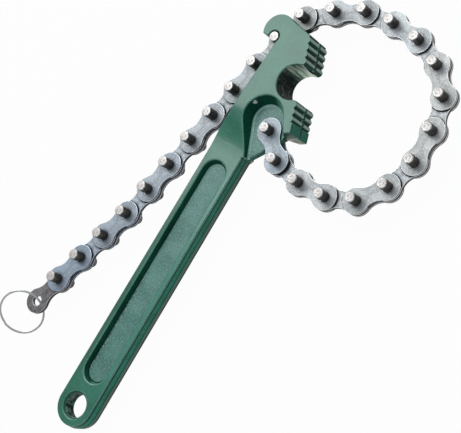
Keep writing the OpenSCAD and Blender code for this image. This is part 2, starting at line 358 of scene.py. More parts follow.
def border_dots(tree, place, colour):
    axis = axes(tree, place)
    border = maths(tree, "MULTIPLY", spread(tree, axis["X"], *BORDER_X), spread(tree, axis["Y"], *BORDER_Y))
    dots = noise(tree, place, DOT_SCALE, detail=1.0)
    for limits, dot in ((DARK_DOTS, DARK_DOT), (PALE_DOTS, PALE_DOT)):
        share = maths(tree, "MULTIPLY", border, spread(tree, dots, *limits))
        colour = blend_colour(tree, share, colour, dot)
    return colour


# Painted highlight: a white glint painted onto the wall of the pocket, with a ragged border.
def painted_glint(tree, place, colour):
    away = add(tree, "ShaderNodeVectorMath", {"operation": "DISTANCE"}, {
        0: place, 1: GLINT_AT}).outputs["Value"]
    broken = maths(tree, "MULTIPLY_ADD", noise(tree, place, GLINT_SCALE), GLINT_RAGGED, away)
    return blend_colour(tree, spread(tree, broken, *GLINT_REACH, 1.0, 0.0), colour, GLINT_WHITE)


# %% [markdown]
# Over the outer edges the enamel is paler, where it runs thin and as a painted highlight, and the inner
# corners have a painted shade, so these have coats of their own. The ridge round the pocket's floor has
# a painted highlight too. Near the hook, which lies in the glare of the soft box, the coat is a little
# less glossy.

# %% Green enamel
PATCH_SCALE = 90.0
SPECK_SCALE = 1100.0
SPECK = (0.32, 0.55, 0.48, 1)
ROUGH_SPREAD = 0.05
THIN_GLOSS = 0.82
HOOK_FROM = (200 * MM, 222 * MM)
HOOK_GLOSS = 0.74
GLOSSY = 0.5
DULL_COAT = 0.1
ENAMEL_BUMP = 0.2 * MM


def enamel(name, deep, pale, roughness, coat_roughness, specks, bump, gloss=True, grain=0.5, marks=None,
           below=None):
    material, tree, place, surface = finish(name)
    cloud = use_effect(tree, clouding, {
        "Place": place, "Patch Scale": PATCH_SCALE, "Speck Scale": SPECK_SCALE})
    share = maths(tree, "MULTIPLY_ADD", cloud["Grain"], grain, cloud["Patches"])
    colour = blend_colour(tree, share, deep, pale)
    colour = blend_colour(tree, maths(tree, "MULTIPLY", cloud["Specks"], specks), colour, SPECK)
    if marks:
        colour = marks(tree, place, colour)
    tree.links.new(colour, surface.inputs["Base Color"])
    rough = spread(tree, share, 0, 1, roughness - ROUGH_SPREAD, roughness + ROUGH_SPREAD)
    tree.links.new(rough, surface.inputs["Roughness"])
    if gloss:
        near_hook = spread(tree, axes(tree, place)["Y"], *HOOK_FROM, 1.0, HOOK_GLOSS)
        sheen = maths(tree, "MULTIPLY", spread(tree, share, 0, 1, THIN_GLOSS, 1.0), near_hook)
        tree.links.new(sheen, surface.inputs["Coat Weight"])
    surface.inputs["Coat Roughness"].default_value = coat_roughness
    surface.inputs["Specular IOR Level"].default_value = GLOSSY if gloss else DULL_COAT
    normal = below(tree, place) if below else None
    raise_bumps(tree, surface, cloud["Height"], bump, ENAMEL_BUMP, normal)
    return material


green_enamel = enamel(
    "green_enamel", (0.004, 0.157, 0.088, 1), (0.010, 0.205, 0.122, 1), roughness=0.40,
    coat_roughness=0.16, specks=0.10, bump=0.10, marks=painted_flange_light, below=soft_foot)
cast_enamel = enamel(
    "cast_enamel", (0.040, 0.190, 0.150, 1), (0.105, 0.300, 0.252, 1), roughness=0.55,
    coat_roughness=0.35, specks=0.50, bump=0.5, grain=1.0, marks=border_dots)
# Painted shade: a darker copy of the enamel, for the walls that face away from the soft box.
shaded_wall_enamel = enamel(
    "shaded_wall_enamel", (0.003, 0.062, 0.036, 1), (0.007, 0.100, 0.060, 1), roughness=0.50,
    coat_roughness=0.3, specks=0.06, bump=0.15, gloss=False, marks=painted_glint)
# Painted highlight, partly thin enamel: the paler coat of the rounded outer edges.
thin_edge_highlight_enamel = enamel(
    "thin_edge_highlight_enamel", (0.055, 0.230, 0.155, 1), (0.130, 0.340, 0.255, 1), roughness=0.34,
    coat_roughness=0.16, specks=0.2, bump=0.04, grain=1.0)
# Painted shade: the dark coat of the inner corners and of the valleys between the teeth.
corner_shade_enamel = enamel(
    "corner_shade_enamel", (0.001, 0.025, 0.014, 1), (0.003, 0.045, 0.026, 1), roughness=0.5,
    coat_roughness=0.3, specks=0.0, bump=0.1, gloss=False)
# Painted highlight: the bright coat of the ridge round the pocket's floor.
ridge_highlight_enamel = enamel(
    "ridge_highlight_enamel", (0.200, 0.450, 0.370, 1), (0.420, 0.680, 0.590, 1), roughness=0.34,
    coat_roughness=0.16, specks=0.3, bump=0.10, grain=1.0)
coats = (green_enamel, cast_enamel, shaded_wall_enamel, thin_edge_highlight_enamel, corner_shade_enamel, ridge_highlight_enamel)
print("enamels", [m.name for m in coats])

# %% [markdown]
# Round the sides of the grip runs the dark parting line of the forging, and along both edges a dark band
# of painted shade. The half behind the line is a brownish grey. A groove could be cut for the line, but
# it is only a stain, so the finish draws it from the distance to the middle plane.

# %% Sides of the handle
GRIP_TOP = (140.0 * MM, 142.5 * MM)
LINE_WANDER = 0.15 * MM
LINE_HALF = (0.25 * MM, 0.7 * MM)
LINE_SHARE = 0.95
EDGE_SHADE_FROM = (2.7 * MM, 3.2 * MM)
PARTING_AND_SHADE_GREEN = (0.003, 0.070, 0.042, 1)
BACK_HALF = (-0.5 * MM, -2.0 * MM)
BACK_SHARE = 0.75
BACK_BROWN = (0.240, 0.215, 0.170, 1)
GRIP_GREENS = ((0.028, 0.240, 0.155, 1), (0.070, 0.350, 0.250, 1))
HEAD_GREENS = ((0.013, 0.150, 0.098, 1), (0.033, 0.218, 0.150, 1))
SIDE_PATCH_SCALE = 120.0
SIDE_ROUGH = (0.45, 0.6)
SIDE_GLOSS = 0.12
SIDE_BUMP = 0.2


def side_of_handle(name):
    material, tree, place, surface = finish(name)
    cloud = use_effect(tree, clouding, {
        "Place": place, "Patch Scale": SIDE_PATCH_SCALE, "Speck Scale": SPECK_SCALE})
    axis = axes(tree, place)
    depth = maths(tree, "ABSOLUTE", axis["Z"])
    depth = maths(tree, "MULTIPLY_ADD", cloud["Patches"], LINE_WANDER, depth)
    share = maths(tree, "ADD", cloud["Grain"], cloud["Patches"])
    grip = spread(tree, axis["Y"], *GRIP_TOP, 1.0, 0.0)
    grip_side = blend_colour(tree, share, *GRIP_GREENS)
    head_side = blend_colour(tree, share, *HEAD_GREENS)
    colour = blend_colour(tree, grip, head_side, grip_side)
    back = maths(tree, "MULTIPLY", spread(tree, axis["Z"], *BACK_HALF, 0.0, BACK_SHARE), grip)
    colour = blend_colour(tree, back, colour, BACK_BROWN)
    # Painted shade: a dark band along both edges of the side; the parting line itself is a stain.
    edge_shade = maths(tree, "MULTIPLY", spread(tree, depth, *EDGE_SHADE_FROM), grip)
    line = maths(tree, "MULTIPLY", spread(tree, depth, *LINE_HALF, LINE_SHARE, 0.0), grip)
    colour = blend_colour(tree, maths(tree, "MAXIMUM", edge_shade, line), colour, PARTING_AND_SHADE_GREEN)
    tree.links.new(colour, surface.inputs["Base Color"])
    tree.links.new(spread(tree, cloud["Patches"], 0, 1, *SIDE_ROUGH), surface.inputs["Roughness"])
    surface.inputs["Specular IOR Level"].default_value = SIDE_GLOSS
    raise_bumps(tree, surface, cloud["Height"], SIDE_BUMP, ENAMEL_BUMP)
    return material


side_enamel = side_of_handle("side_enamel")
print("side coat", side_enamel.name)

# %% [markdown]
# In the gap of the jaw and in the hanging hole the enamel is thin and the wall is nearly black, with
# faint streaks along Z. Pale marks curl over the inner wall of the gap, and a greenish film lies above
# them. The marks are contour lines of a soft noise, which curl by themselves, where drawn lines would
# need a path for each.

# %% Marks of the gap
GAP_BLACKS = ((0.0005, 0.003, 0.002, 1), (0.014, 0.028, 0.021, 1))
FILM_FROM = (179 * MM, 185 * MM)
FILM_SCALE = 240.0
FILM_RANGE = (0.40, 0.62)
FILM_GREEN = (0.055, 0.120, 0.088, 1)
CURL_BELOW = (183 * MM, 176 * MM)
CURL_SCALE = 300.0
CURL_LEVEL = 0.5
CURL_HALF = (0.008, 0.035)
CURL_SHARE = 0.7
CURL_GREY = (0.260, 0.330, 0.280, 1)


def gap_wall(tree, place, along, streak):
    colour = blend_colour(tree, streak, *GAP_BLACKS)
    film = maths(tree, "MULTIPLY", spread(tree, noise(tree, place, FILM_SCALE), *FILM_RANGE),
                 spread(tree, along, *FILM_FROM))
    colour = blend_colour(tree, film, colour, FILM_GREEN)
    contour = maths(tree, "SUBTRACT", noise(tree, place, CURL_SCALE, detail=1.0), CURL_LEVEL)
    curl = spread(tree, maths(tree, "ABSOLUTE", contour), *CURL_HALF, CURL_SHARE, 0.0)
    curl = maths(tree, "MULTIPLY", curl, spread(tree, along, *CURL_BELOW))
    return blend_colour(tree, curl, colour, CURL_GREY)


# %% [markdown]
# The wall of the hanging hole is a little greener, with pale blotches. At the upper end of the gap the
# steel is bare. Its border is ragged, because a noise and the streaks are added to the place along the
# handle before it is compared with the border.

# %% Cut walls
HANGING_BELOW = (20 * MM, 30 * MM)
HANGING_GREENS = ((0.014, 0.060, 0.044, 1), (0.460, 0.600, 0.500, 1))
BLOTCH_SCALE = 330.0
BLOTCH_RANGE = (0.42, 0.56)
BARE_FROM = (187.5 * MM, 193.0 * MM)
BARE_GREYS = ((0.040, 0.110, 0.076, 1), (0.560, 0.690, 0.550, 1))
BARE_SCALE = 260.0
BARE_RAGGED = 5 * MM
BARE_STREAKED = 1.5 * MM
BARE_METAL = 0.85
CUT_STRETCH = (600, 600, 50)
CUT_STREAKS = (0.3, 0.72)
CUT_ROUGH = (0.3, 0.45)
CUT_GLOSS = 0.02
CUT_BUMP = 0.4
CUT_BUMP_HEIGHT = 0.3 * MM


def hanging_wall(tree, place, streak):
    blotch = spread(tree, noise(tree, place, BLOTCH_SCALE), *BLOTCH_RANGE)
    return blend_colour(tree, maths(tree, "MULTIPLY", streak, blotch), *HANGING_GREENS)


def bare_end(tree, place, along, streak):
    ragged = maths(tree, "MULTIPLY_ADD", noise(tree, place, BARE_SCALE), BARE_RAGGED, along)
    ragged = maths(tree, "MULTIPLY_ADD", streak, BARE_STREAKED, ragged)
    return spread(tree, ragged, *BARE_FROM)


def cut_wall(name):
    material, tree, place, surface = finish(name)
    marks = use_effect(tree, scoring, {"Place": place, "Stretch": CUT_STRETCH})
    streak = spread(tree, marks["Lines"], *CUT_STREAKS)
    along = axes(tree, place)["Y"]
    colour = blend_colour(tree, spread(tree, along, *HANGING_BELOW), hanging_wall(tree, place, streak),
                          gap_wall(tree, place, along, streak))
    bare = bare_end(tree, place, along, streak)
    colour = blend_colour(tree, bare, colour, blend_colour(tree, streak, *BARE_GREYS))
    tree.links.new(colour, surface.inputs["Base Color"])
    tree.links.new(maths(tree, "MULTIPLY", bare, BARE_METAL), surface.inputs["Metallic"])
    tree.links.new(spread(tree, streak, 0, 1, *CUT_ROUGH), surface.inputs["Roughness"])
    surface.inputs["Specular IOR Level"].default_value = CUT_GLOSS
    raise_bumps(tree, surface, marks["Height"], CUT_BUMP, CUT_BUMP_HEIGHT)
    return material


cut_steel = cut_wall("cut_steel")
print("cut walls", cut_steel.name)

# %% [markdown]
# On the underside of the lower jaw block the enamel is gone from the back half, and grey steel shows.
# Where it ends follows from the depth along Z, with a ragged border.

# %% Worn underside
KEPT_FROM = (0.5 * MM, 2.0 * MM)
KEPT_RAGGED = 1.5 * MM
KEPT_GREEN = (0.004, 0.095, 0.055, 1)
WORN_GREYS = ((0.10, 0.16, 0.12, 1), (0.60, 0.59, 0.50, 1))
WORN_PATCH_SCALE = 350.0
WORN_SPECK_SCALE = 1600.0
WORN_ROUGH = (0.55, 0.4)
WORN_METAL = 0.2
WORN_BUMP = 0.2


def worn(name):
    material, tree, place, surface = finish(name)
    cloud = use_effect(tree, clouding, {
        "Place": place, "Patch Scale": WORN_PATCH_SCALE, "Speck Scale": WORN_SPECK_SCALE})
    colour = blend_colour(tree, cloud["Patches"], *WORN_GREYS)
    deep = maths(tree, "MULTIPLY_ADD", cloud["Patches"], KEPT_RAGGED, axes(tree, place)["Z"])
    colour = blend_colour(tree, spread(tree, deep, *KEPT_FROM), colour, KEPT_GREEN)
    tree.links.new(colour, surface.inputs["Base Color"])
    tree.links.new(spread(tree, cloud["Patches"], 0, 1, *WORN_ROUGH), surface.inputs["Roughness"])
    surface.inputs["Metallic"].default_value = WORN_METAL
    raise_bumps(tree, surface, cloud["Height"], WORN_BUMP, ENAMEL_BUMP)
    return material


worn_steel = worn("worn_steel")
print("underside", worn_steel.name)

# %% [markdown]
# The chain is stamped from plate. Its faces have a dull bluish zinc, the punched walls are painted
# dark as shade, and the edge that the die rolled over has a paler steel as a painted highlight. The sizes
# are those of the CAD source, because the finer links take the place of the CAD ones.

# %% Sizes of the chain
PITCH = 15.875 * MM
END_R = 6.3 * MM
WAIST_R = 4.0 * MM
HOLE_R = 2.55 * MM
PIN_R = 2.5 * MM
PIN_LENGTH = 17.5 * MM
PIN_CHAMFER = 0.35 * MM
OUTER_T = 1.1 * MM
INNER_T = 2.0 * MM
SIDE_FIT = 0.1 * MM
BOSS_T = 4.0 * MM
print("pitch", PITCH, "pin", PIN_R, "by", PIN_LENGTH)

# %% [markdown]
# On the outer plates a painted shadow lies round the foot of each pin. On the inner plates a painted
# shadow lies along the ends of the outer ones, and these have rubbed a faint bright ring. All of it is
# round a pin, so it follows from the distance to the nearer pin, which the link's own coordinates give.

# %% Painted shadows and rubbed rings
PIN_SHADOW = 0.60
PIN_SHADOW_REACH = 1.3 * MM
PIN_SHADOW_RAGGED = 0.5 * MM
PIN_SHADOW_BLACK = (0.035, 0.034, 0.036, 1)
PLATE_SHADOW = 0.9
PLATE_SHADOW_REACH = (END_R + 0.25 * MM, END_R + 0.7 * MM)
PLATE_SHADOW_RAGGED = 0.3 * MM
PLATE_SHADOW_BLACK = (0.012, 0.012, 0.013, 1)
RUB = 0.5
RUB_R = END_R + 1.7 * MM
RUB_HALF = (0.05 * MM, 0.3 * MM)
RUB_BRIGHT = (0.7, 0.7, 0.7, 1)


def from_pin(tree, place):
    axis = axes(tree, place)
    along = maths(tree, "SUBTRACT", maths(tree, "ABSOLUTE", axis["X"]), PITCH / 2)
    across = maths(tree, "MULTIPLY", axis["Y"], axis["Y"])
    return maths(tree, "SQRT", maths(tree, "MULTIPLY_ADD", along, along, across))


# Painted shadow: a dark halo round the foot of each pin.
def painted_pin_shadow(tree, place, cloud, colour):
    edge = maths(tree, "MULTIPLY_ADD", cloud["Patches"], -PIN_SHADOW_RAGGED, from_pin(tree, place))
    pin_shadow = spread(tree, edge, PIN_R - PIN_SHADOW_RAGGED, PIN_R + PIN_SHADOW_REACH, PIN_SHADOW, 0.0)
    return blend_colour(tree, pin_shadow, colour, PIN_SHADOW_BLACK)


# Painted shadow along the ends of the outer plates, and a real rubbed ring.
def shadowed_and_rubbed(tree, place, cloud, colour):
    reach = from_pin(tree, place)
    edge = maths(tree, "MULTIPLY_ADD", cloud["Grain"], PLATE_SHADOW_RAGGED, reach)
    colour = blend_colour(tree, spread(tree, edge, *PLATE_SHADOW_REACH, PLATE_SHADOW, 0.0), colour, PLATE_SHADOW_BLACK)
    ring = maths(tree, "ABSOLUTE", maths(tree, "SUBTRACT", reach, RUB_R))
    return blend_colour(tree, spread(tree, ring, *RUB_HALF, RUB, 0.0), colour, RUB_BRIGHT)


# %% [markdown]
# One function makes every steel of the chain: lines from the rolling mill over soft patches, and a tint
# that each link brings in an attribute, because no two links of a real chain come out of the bath quite
# alike. The pins' sides are painted dark as shade, their ends are bright, and the last plate is
# darker.

# %% Chain steel
LINE_SHARE_OF_STEEL = 0.45
PATCH_SHARE_OF_STEEL = 0.55
GRAIN_SHARE_OF_STEEL = 0.9
STEEL_ROUGH_SPREAD = 0.06
STEEL_BUMP = 0.1 * MM
STEEL_SPECK_SCALE = 1700.0


def steel(name, dark, light, roughness, metallic=1.0, grain=(60, 700, 700), bump=0.1, mottle=160.0,
          marks=None):
    material, tree, place, surface = finish(name, "link_place")
    cloud = use_effect(tree, clouding, {
        "Place": place, "Patch Scale": mottle, "Speck Scale": STEEL_SPECK_SCALE})
    score = use_effect(tree, scoring, {"Place": place, "Stretch": grain})
    mixed = maths(tree, "MULTIPLY", cloud["Patches"], PATCH_SHARE_OF_STEEL)
    mixed = maths(tree, "MULTIPLY_ADD", score["Lines"], LINE_SHARE_OF_STEEL, mixed)
    mixed = maths(tree, "MULTIPLY_ADD", cloud["Grain"], GRAIN_SHARE_OF_STEEL, mixed)
    colour = blend_colour(tree, mixed, dark, light)
    if marks:
        colour = marks(tree, place, cloud, colour)
    own = add(tree, "ShaderNodeAttribute", {"attribute_name": "link_tint"}).outputs["Color"]
    tree.links.new(blend_colour(tree, 1.0, colour, own, "MULTIPLY"), surface.inputs["Base Color"])
    rough = spread(tree, mixed, 0, 1, roughness + STEEL_ROUGH_SPREAD, roughness - STEEL_ROUGH_SPREAD)
    tree.links.new(rough, surface.inputs["Roughness"])
    surface.inputs["Metallic"].default_value = metallic
    raise_bumps(tree, surface, score["Height"], bump, STEEL_BUMP)
    return material


plate_face = steel(
    "plate_face", (0.318, 0.324, 0.332, 1), (0.578, 0.586, 0.590, 1), roughness=0.46, metallic=0.35,
    bump=0.2, marks=painted_pin_shadow)
inner_face = steel(
    "inner_face", (0.272, 0.278, 0.292, 1), (0.560, 0.568, 0.582, 1), roughness=0.46, metallic=0.35,
    bump=0.2, marks=shadowed_and_rubbed)
# Painted shade: the punched walls of the plates are near black.
plate_wall_shade = steel(
    "plate_wall_shade", (0.012, 0.012, 0.013, 1), (0.060, 0.060, 0.062, 1), roughness=0.5, metallic=0.6,
    grain=(500, 500, 60))
# Painted highlight: paler steel on the rounded rims of the plates.
plate_rim_highlight = steel("plate_rim_highlight", (0.58, 0.58, 0.58, 1), (0.80, 0.80, 0.79, 1), roughness=0.3)
end_face = steel(
    "end_face", (0.105, 0.098, 0.105, 1), (0.300, 0.284, 0.295, 1), roughness=0.5, metallic=0.5)
# Painted highlight: paler steel on the rounded rims of the last plate.
end_rim_highlight = steel("end_rim_highlight", (0.45, 0.44, 0.44, 1), (0.65, 0.64, 0.64, 1), roughness=0.32)
# Painted shade: the pins' sides are near black.
pin_side_shade = steel(
    "pin_side_shade", (0.004, 0.0035, 0.003, 1), (0.12, 0.108, 0.095, 1), roughness=0.42, metallic=0.5,
    grain=(300, 300, 1500), bump=0.2, mottle=500.0)
pin_end = steel(
    "pin_end", (0.46, 0.425, 0.41, 1), (0.84, 0.80, 0.78, 1), roughness=0.5, grain=(900, 500, 500),
    mottle=500.0)
ring_wire = steel(
    "ring_wire", (0.62, 0.61, 0.58, 1), (0.90, 0.89, 0.86, 1), roughness=0.25, metallic=0.5)
plate_steels = (plate_face, inner_face, plate_wall_shade, end_face)
other_steels = (plate_rim_highlight, end_rim_highlight, pin_side_shade, pin_end, ring_wire)
print("chain steels", [m.name for m in plate_steels + other_steels])

# %% [markdown]
# A link is the same shape 26 times, so it is a Geometry Nodes tree with named sizes. The plate's
# outline is four arcs that touch: two round ends and two hollow flanks. The radius of the flanks
# follows from the pitch, the end and the waist, so the outline stays smooth whatever sizes it is given.
# The arcs are merged into one closed curve and filled with its two holes.

# %% Helpers for geometry trees
def new_tree(name, inputs):
    tree = bpy.data.node_groups.new(name, "GeometryNodeTree")
    for label, kind in inputs:
        tree.interface.new_socket(label, in_out="INPUT", socket_type=kind)
    tree.interface.new_socket("Geometry", in_out="OUTPUT", socket_type="NodeSocketGeometry")
    start = tree.nodes.new("NodeGroupInput")
    end = tree.nodes.new("NodeGroupOutput")
    return tree, start.outputs, end.inputs["Geometry"]


def together(tree, *pieces):
    joined = tree.nodes.new("GeometryNodeJoinGeometry")
    for piece in reversed(pieces):
        tree.links.new(piece, joined.inputs["Geometry"])
    return joined.outputs[0]


def vector(tree, x=0.0, y=0.0, z=0.0):
    return add(tree, "ShaderNodeCombineXYZ", inputs={"X": x, "Y": y, "Z": z}).outputs[0]


def moved(tree, piece, x=0.0, y=0.0, z=0.0):
    return add(tree, "GeometryNodeTransform", inputs={
        "Geometry": piece, "Translation": vector(tree, x, y, z)}).outputs[0]


def merged(tree, piece, distance):
    return add(tree, "GeometryNodeMergeByDistance", inputs={
        "Geometry": piece, "Distance": distance}).outputs[0]


def arc(tree, radius, start, sweep, steps):
    return add(tree, "GeometryNodeCurveArc", {"mode": "RADIUS"}, {
        "Resolution": steps, "Radius": radius, "Start Angle": start, "Sweep Angle": sweep}).outputs[0]


# %% Plate outline tree
END_STEPS = 33
FLANK_STEPS = 13
HOLE_STEPS = 32
ARC_JOIN = 0.02 * MM
HALF_TURN = (0, 0, math.pi)

outline_tree, given, outline_out = new_tree("plate_outline", [
    ("Pitch", "NodeSocketFloat"), ("End Radius", "NodeSocketFloat"),
    ("Waist Radius", "NodeSocketFloat"), ("Hole Radius", "NodeSocketFloat")])
tree = outline_tree
half_pitch = maths(tree, "MULTIPLY", given["Pitch"], 0.5)
minus_half = maths(tree, "MULTIPLY", given["Pitch"], -0.5)
squares = maths(tree, "MULTIPLY_ADD", given["Waist Radius"], given["Waist Radius"],
                maths(tree, "MULTIPLY", half_pitch, half_pitch))
end_square = maths(tree, "MULTIPLY", given["End Radius"], given["End Radius"])
squares = maths(tree, "SUBTRACT", squares, end_square)
shoulder = maths(tree, "SUBTRACT", given["End Radius"], given["Waist Radius"])
flank_r = maths(tree, "DIVIDE", squares, maths(tree, "MULTIPLY", shoulder, 2.0))
flank_y = maths(tree, "ADD", given["Waist Radius"], flank_r)
touch = maths(tree, "ARCTAN2", flank_y, minus_half)
end_start = maths(tree, "MULTIPLY", touch, -1.0)
end_sweep = maths(tree, "MULTIPLY", touch, 2.0)
hollow = maths(tree, "MULTIPLY", maths(tree, "SUBTRACT", touch, math.pi / 2), 2.0)
hollow_start = maths(tree, "SUBTRACT", 1.5 * math.pi, maths(tree, "MULTIPLY", hollow, 0.5))

right_end = moved(tree, arc(tree, given["End Radius"], end_start, end_sweep, END_STEPS), x=half_pitch)
upper_flank = moved(tree, arc(tree, flank_r, hollow_start, hollow, FLANK_STEPS), y=flank_y)
left_end, lower_flank = (add(tree, "GeometryNodeTransform", inputs={
    "Geometry": part, "Rotation": HALF_TURN}).outputs[0] for part in (right_end, upper_flank))
arcs = add(tree, "GeometryNodeCurveToMesh", inputs={
    "Curve": together(tree, right_end, upper_flank, left_end, lower_flank)}).outputs[0]
edge = add(tree, "GeometryNodeMeshToCurve", inputs={"Mesh": merged(tree, arcs, ARC_JOIN)}).outputs[0]
hole = add(tree, "GeometryNodeCurvePrimitiveCircle", inputs={
    "Resolution": HOLE_STEPS, "Radius": given["Hole Radius"]}).outputs[0]
holes = together(tree, moved(tree, hole, x=half_pitch), moved(tree, hole, x=minus_half))
sheet = add(tree, "GeometryNodeFillCurve", {"mode": "NGONS"}, {
    "Curve": together(tree, edge, holes)}).outputs[0]
tree.links.new(sheet, outline_out)
print("outline tree with", len(tree.nodes), "nodes")

# %% [markdown]
# The link tree raises the outline into plates and sets them on a short line along Z: two plates far
# apart for an outer link, one for an inner link. The pins stand on a line along X in the same way. A
# pin is a cylinder whose ends are drawn in by two short steps. Each part keeps its own place in an
# attribute, so the finish follows the link wherever it lies.

# %% Helpers for the link tree
def keep(tree, piece, name, kind, value):
    return add(tree, "GeometryNodeStoreNamedAttribute", {"data_type": kind, "domain": "POINT"}, {
        "Geometry": piece, "Name": name, "Value": value}).outputs[0]


def keep_place(tree, piece):
    place = add(tree, "GeometryNodeInputPosition").outputs[0]
    return keep(tree, piece, "link_place", "FLOAT_VECTOR", place)


def keep_tint(tree, piece, tint):
    return keep(tree, piece, "link_tint", "FLOAT_COLOR", tint)


def up_facing(tree, least):
    height = axes(tree, add(tree, "GeometryNodeInputNormal").outputs[0])["Z"]
    return maths(tree, "GREATER_THAN", maths(tree, "ABSOLUTE", height), least)


def on_row(tree, piece, count, start, step):
    row = add(tree, "GeometryNodeMeshLine", inputs={
        "Count": count, "Start Location": start, "Offset": step}).outputs[0]
    stood = add(tree, "GeometryNodeInstanceOnPoints", inputs={"Points": row, "Instance": piece}).outputs[0]
    return add(tree, "GeometryNodeRealizeInstances", inputs={"Geometry": stood}).outputs[0]


def coat(tree, piece, material, where=True):
    return add(tree, "GeometryNodeSetMaterial", inputs={
        "Geometry": piece, "Selection": where, "Material": material}).outputs[0]


# %% Link tree
PLATE_JOIN = 0.01 * MM
PIN_STEPS = 32
CROWN_STEPS = (0.7, 0.3)
CROWN_INSET = 0.5
FACE_UP = 0.7
PIN_END_UP = 0.5
CAP_UP = 0.99
WHITE = (1, 1, 1, 1)

link_tree, given, link_out = new_tree("chain_link", [
    ("Pitch", "NodeSocketFloat"), ("End Radius", "NodeSocketFloat"), ("Waist Radius", "NodeSocketFloat"),
    ("Hole Radius", "NodeSocketFloat"), ("Plates", "NodeSocketInt"), ("Plate Thickness", "NodeSocketFloat"),
    ("Plate Spacing", "NodeSocketFloat"), ("Pins", "NodeSocketInt"), ("Pin Radius", "NodeSocketFloat"),
    ("Pin Length", "NodeSocketFloat"), ("Pin Chamfer", "NodeSocketFloat"), ("Middle", "NodeSocketVector"),
    ("Heading", "NodeSocketFloat"), ("Tint", "NodeSocketColor"), ("Face", "NodeSocketMaterial"),
    ("Wall", "NodeSocketMaterial"), ("Pin Side", "NodeSocketMaterial"), ("Pin End", "NodeSocketMaterial")])
tree = link_tree

sheet = add(tree, "GeometryNodeGroup", {"node_tree": outline_tree}, {
    name: given[name] for name in ("Pitch", "End Radius", "Waist Radius", "Hole Radius")}).outputs[0]
sheet = moved(tree, sheet, z=maths(tree, "MULTIPLY", given["Plate Thickness"], -0.5))
raised = add(tree, "GeometryNodeExtrudeMesh", {"mode": "FACES"}, {
    "Mesh": sheet, "Offset": (0, 0, 1), "Offset Scale": given["Plate Thickness"],
    "Individual": False}).outputs[0]
bottom = add(tree, "GeometryNodeFlipFaces", inputs={"Mesh": sheet}).outputs[0]
plate = merged(tree, together(tree, raised, bottom), PLATE_JOIN)
low = vector(tree, z=maths(tree, "MULTIPLY", given["Plate Spacing"], -0.5))
apart = vector(tree, z=given["Plate Spacing"])
plates = on_row(tree, keep_place(tree, plate), given["Plates"], low, apart)
plates = coat(tree, plates, given["Wall"])
plates = coat(tree, plates, given["Face"], up_facing(tree, FACE_UP))
plates = keep_tint(tree, plates, given["Tint"])

rod = add(tree, "GeometryNodeMeshCylinder", {"fill_type": "NGON"}, {
    "Vertices": PIN_STEPS, "Radius": given["Pin Radius"],
    "Depth": maths(tree, "MULTIPLY_ADD", given["Pin Chamfer"], -2.0, given["Pin Length"])}).outputs["Mesh"]
inset = maths(tree, "DIVIDE", given["Pin Chamfer"], given["Pin Radius"])
for rise in CROWN_STEPS:
    crown = add(tree, "GeometryNodeExtrudeMesh", {"mode": "FACES"}, {
        "Mesh": rod, "Selection": up_facing(tree, CAP_UP), "Individual": True,
        "Offset Scale": maths(tree, "MULTIPLY", given["Pin Chamfer"], rise)})
    rod = add(tree, "GeometryNodeScaleElements", {"domain": "FACE"}, {
        "Geometry": crown.outputs["Mesh"], "Selection": crown.outputs["Top"],
        "Scale": maths(tree, "MULTIPLY_ADD", inset, -CROWN_INSET, 1.0)}).outputs[0]
left = vector(tree, x=maths(tree, "MULTIPLY", given["Pitch"], -0.5))
pins = on_row(tree, keep_place(tree, rod), given["Pins"], left, vector(tree, x=given["Pitch"]))
pins = coat(tree, pins, given["Pin Side"])
pins = coat(tree, pins, given["Pin End"], up_facing(tree, PIN_END_UP))
pins = keep_tint(tree, pins, WHITE)

placed = add(tree, "GeometryNodeTransform", inputs={
    "Geometry": together(tree, plates, pins), "Translation": given["Middle"],
    "Rotation": vector(tree, z=given["Heading"])}).outputs[0]
tree.links.new(placed, link_out)
print("link tree with", len(tree.nodes), "nodes")

# %% [markdown]
# A tree's result is turned into a plain mesh for each body, and then its sharp edges are broken: a
# stamped edge is never knife sharp, and the thin bright line along it is what tells the eye that it is
# steel. A bevel modifier could do it, but a bevel on chosen edges can also give the new faces a steel
# of their own, which on the chain is paler, a painted highlight.

# %% From tree to mesh
def grow(name, tree, values):
    piece = bpy.data.objects.new(name, bpy.data.meshes.new(name))
    scene.collection.objects.link(piece)
    nodes = piece.modifiers.new("grow", "NODES")
    nodes.node_group = tree
    for item in tree.interface.items_tree:
        if item.in_out == "INPUT":
            nodes[item.identifier] = values[item.name]
    graph = bpy.context.evaluated_depsgraph_get()
    mesh = bpy.data.meshes.new_from_object(piece.evaluated_get(graph), depsgraph=graph)
    piece.modifiers.remove(nodes)
    piece.data = mesh
    mesh.name = name
    return piece


@contextmanager
def editing(mesh):
    work = bmesh.new()
    work.from_mesh(mesh)
    yield work
    work.to_mesh(mesh)
    work.free()


def break_edges(mesh, width, picks, rim=None, steps=3):
    with editing(mesh) as work:
        sharp = [e for e in work.edges if len(e.link_faces) == 2 and picks(e)]
        made = bmesh.ops.bevel(work, geom=sharp, offset=width, offset_type="OFFSET", segments=steps,
                               profile=0.5, affect="EDGES", clamp_overlap=False, material=-1)
        if rim is not None:
            mesh.materials.append(rim)
            for face in made["faces"]:
                face.material_index = len(mesh.materials) - 1
    return len(sharp)


def is_sharp(edge, degrees):
    return edge.calc_face_angle(0) > math.radians(degrees)


def smooth(piece, angle=40):
    for polygon in piece.data.polygons:
        polygon.use_smooth = True
    piece.data.set_sharp_from_angle(angle=math.radians(angle))
    even = piece.modifiers.new("even_shading", "WEIGHTED_NORMAL")
    even.keep_sharp = True


# %% [markdown]
# The links differ a little in shade, by chance, and by a rule on top of it. The links near the hook lie
# in the mirror of the soft box, so their zinc is taken darker to look alike in the picture. Towards the
# end of the tail the links are painted darker and bluer, a painted reflection of the dim bluish room, and
# the first link is the bluest of all.

# %% Shades of the links
LINKS = 26
TINT = 0.05
TINT_WARM = 0.02
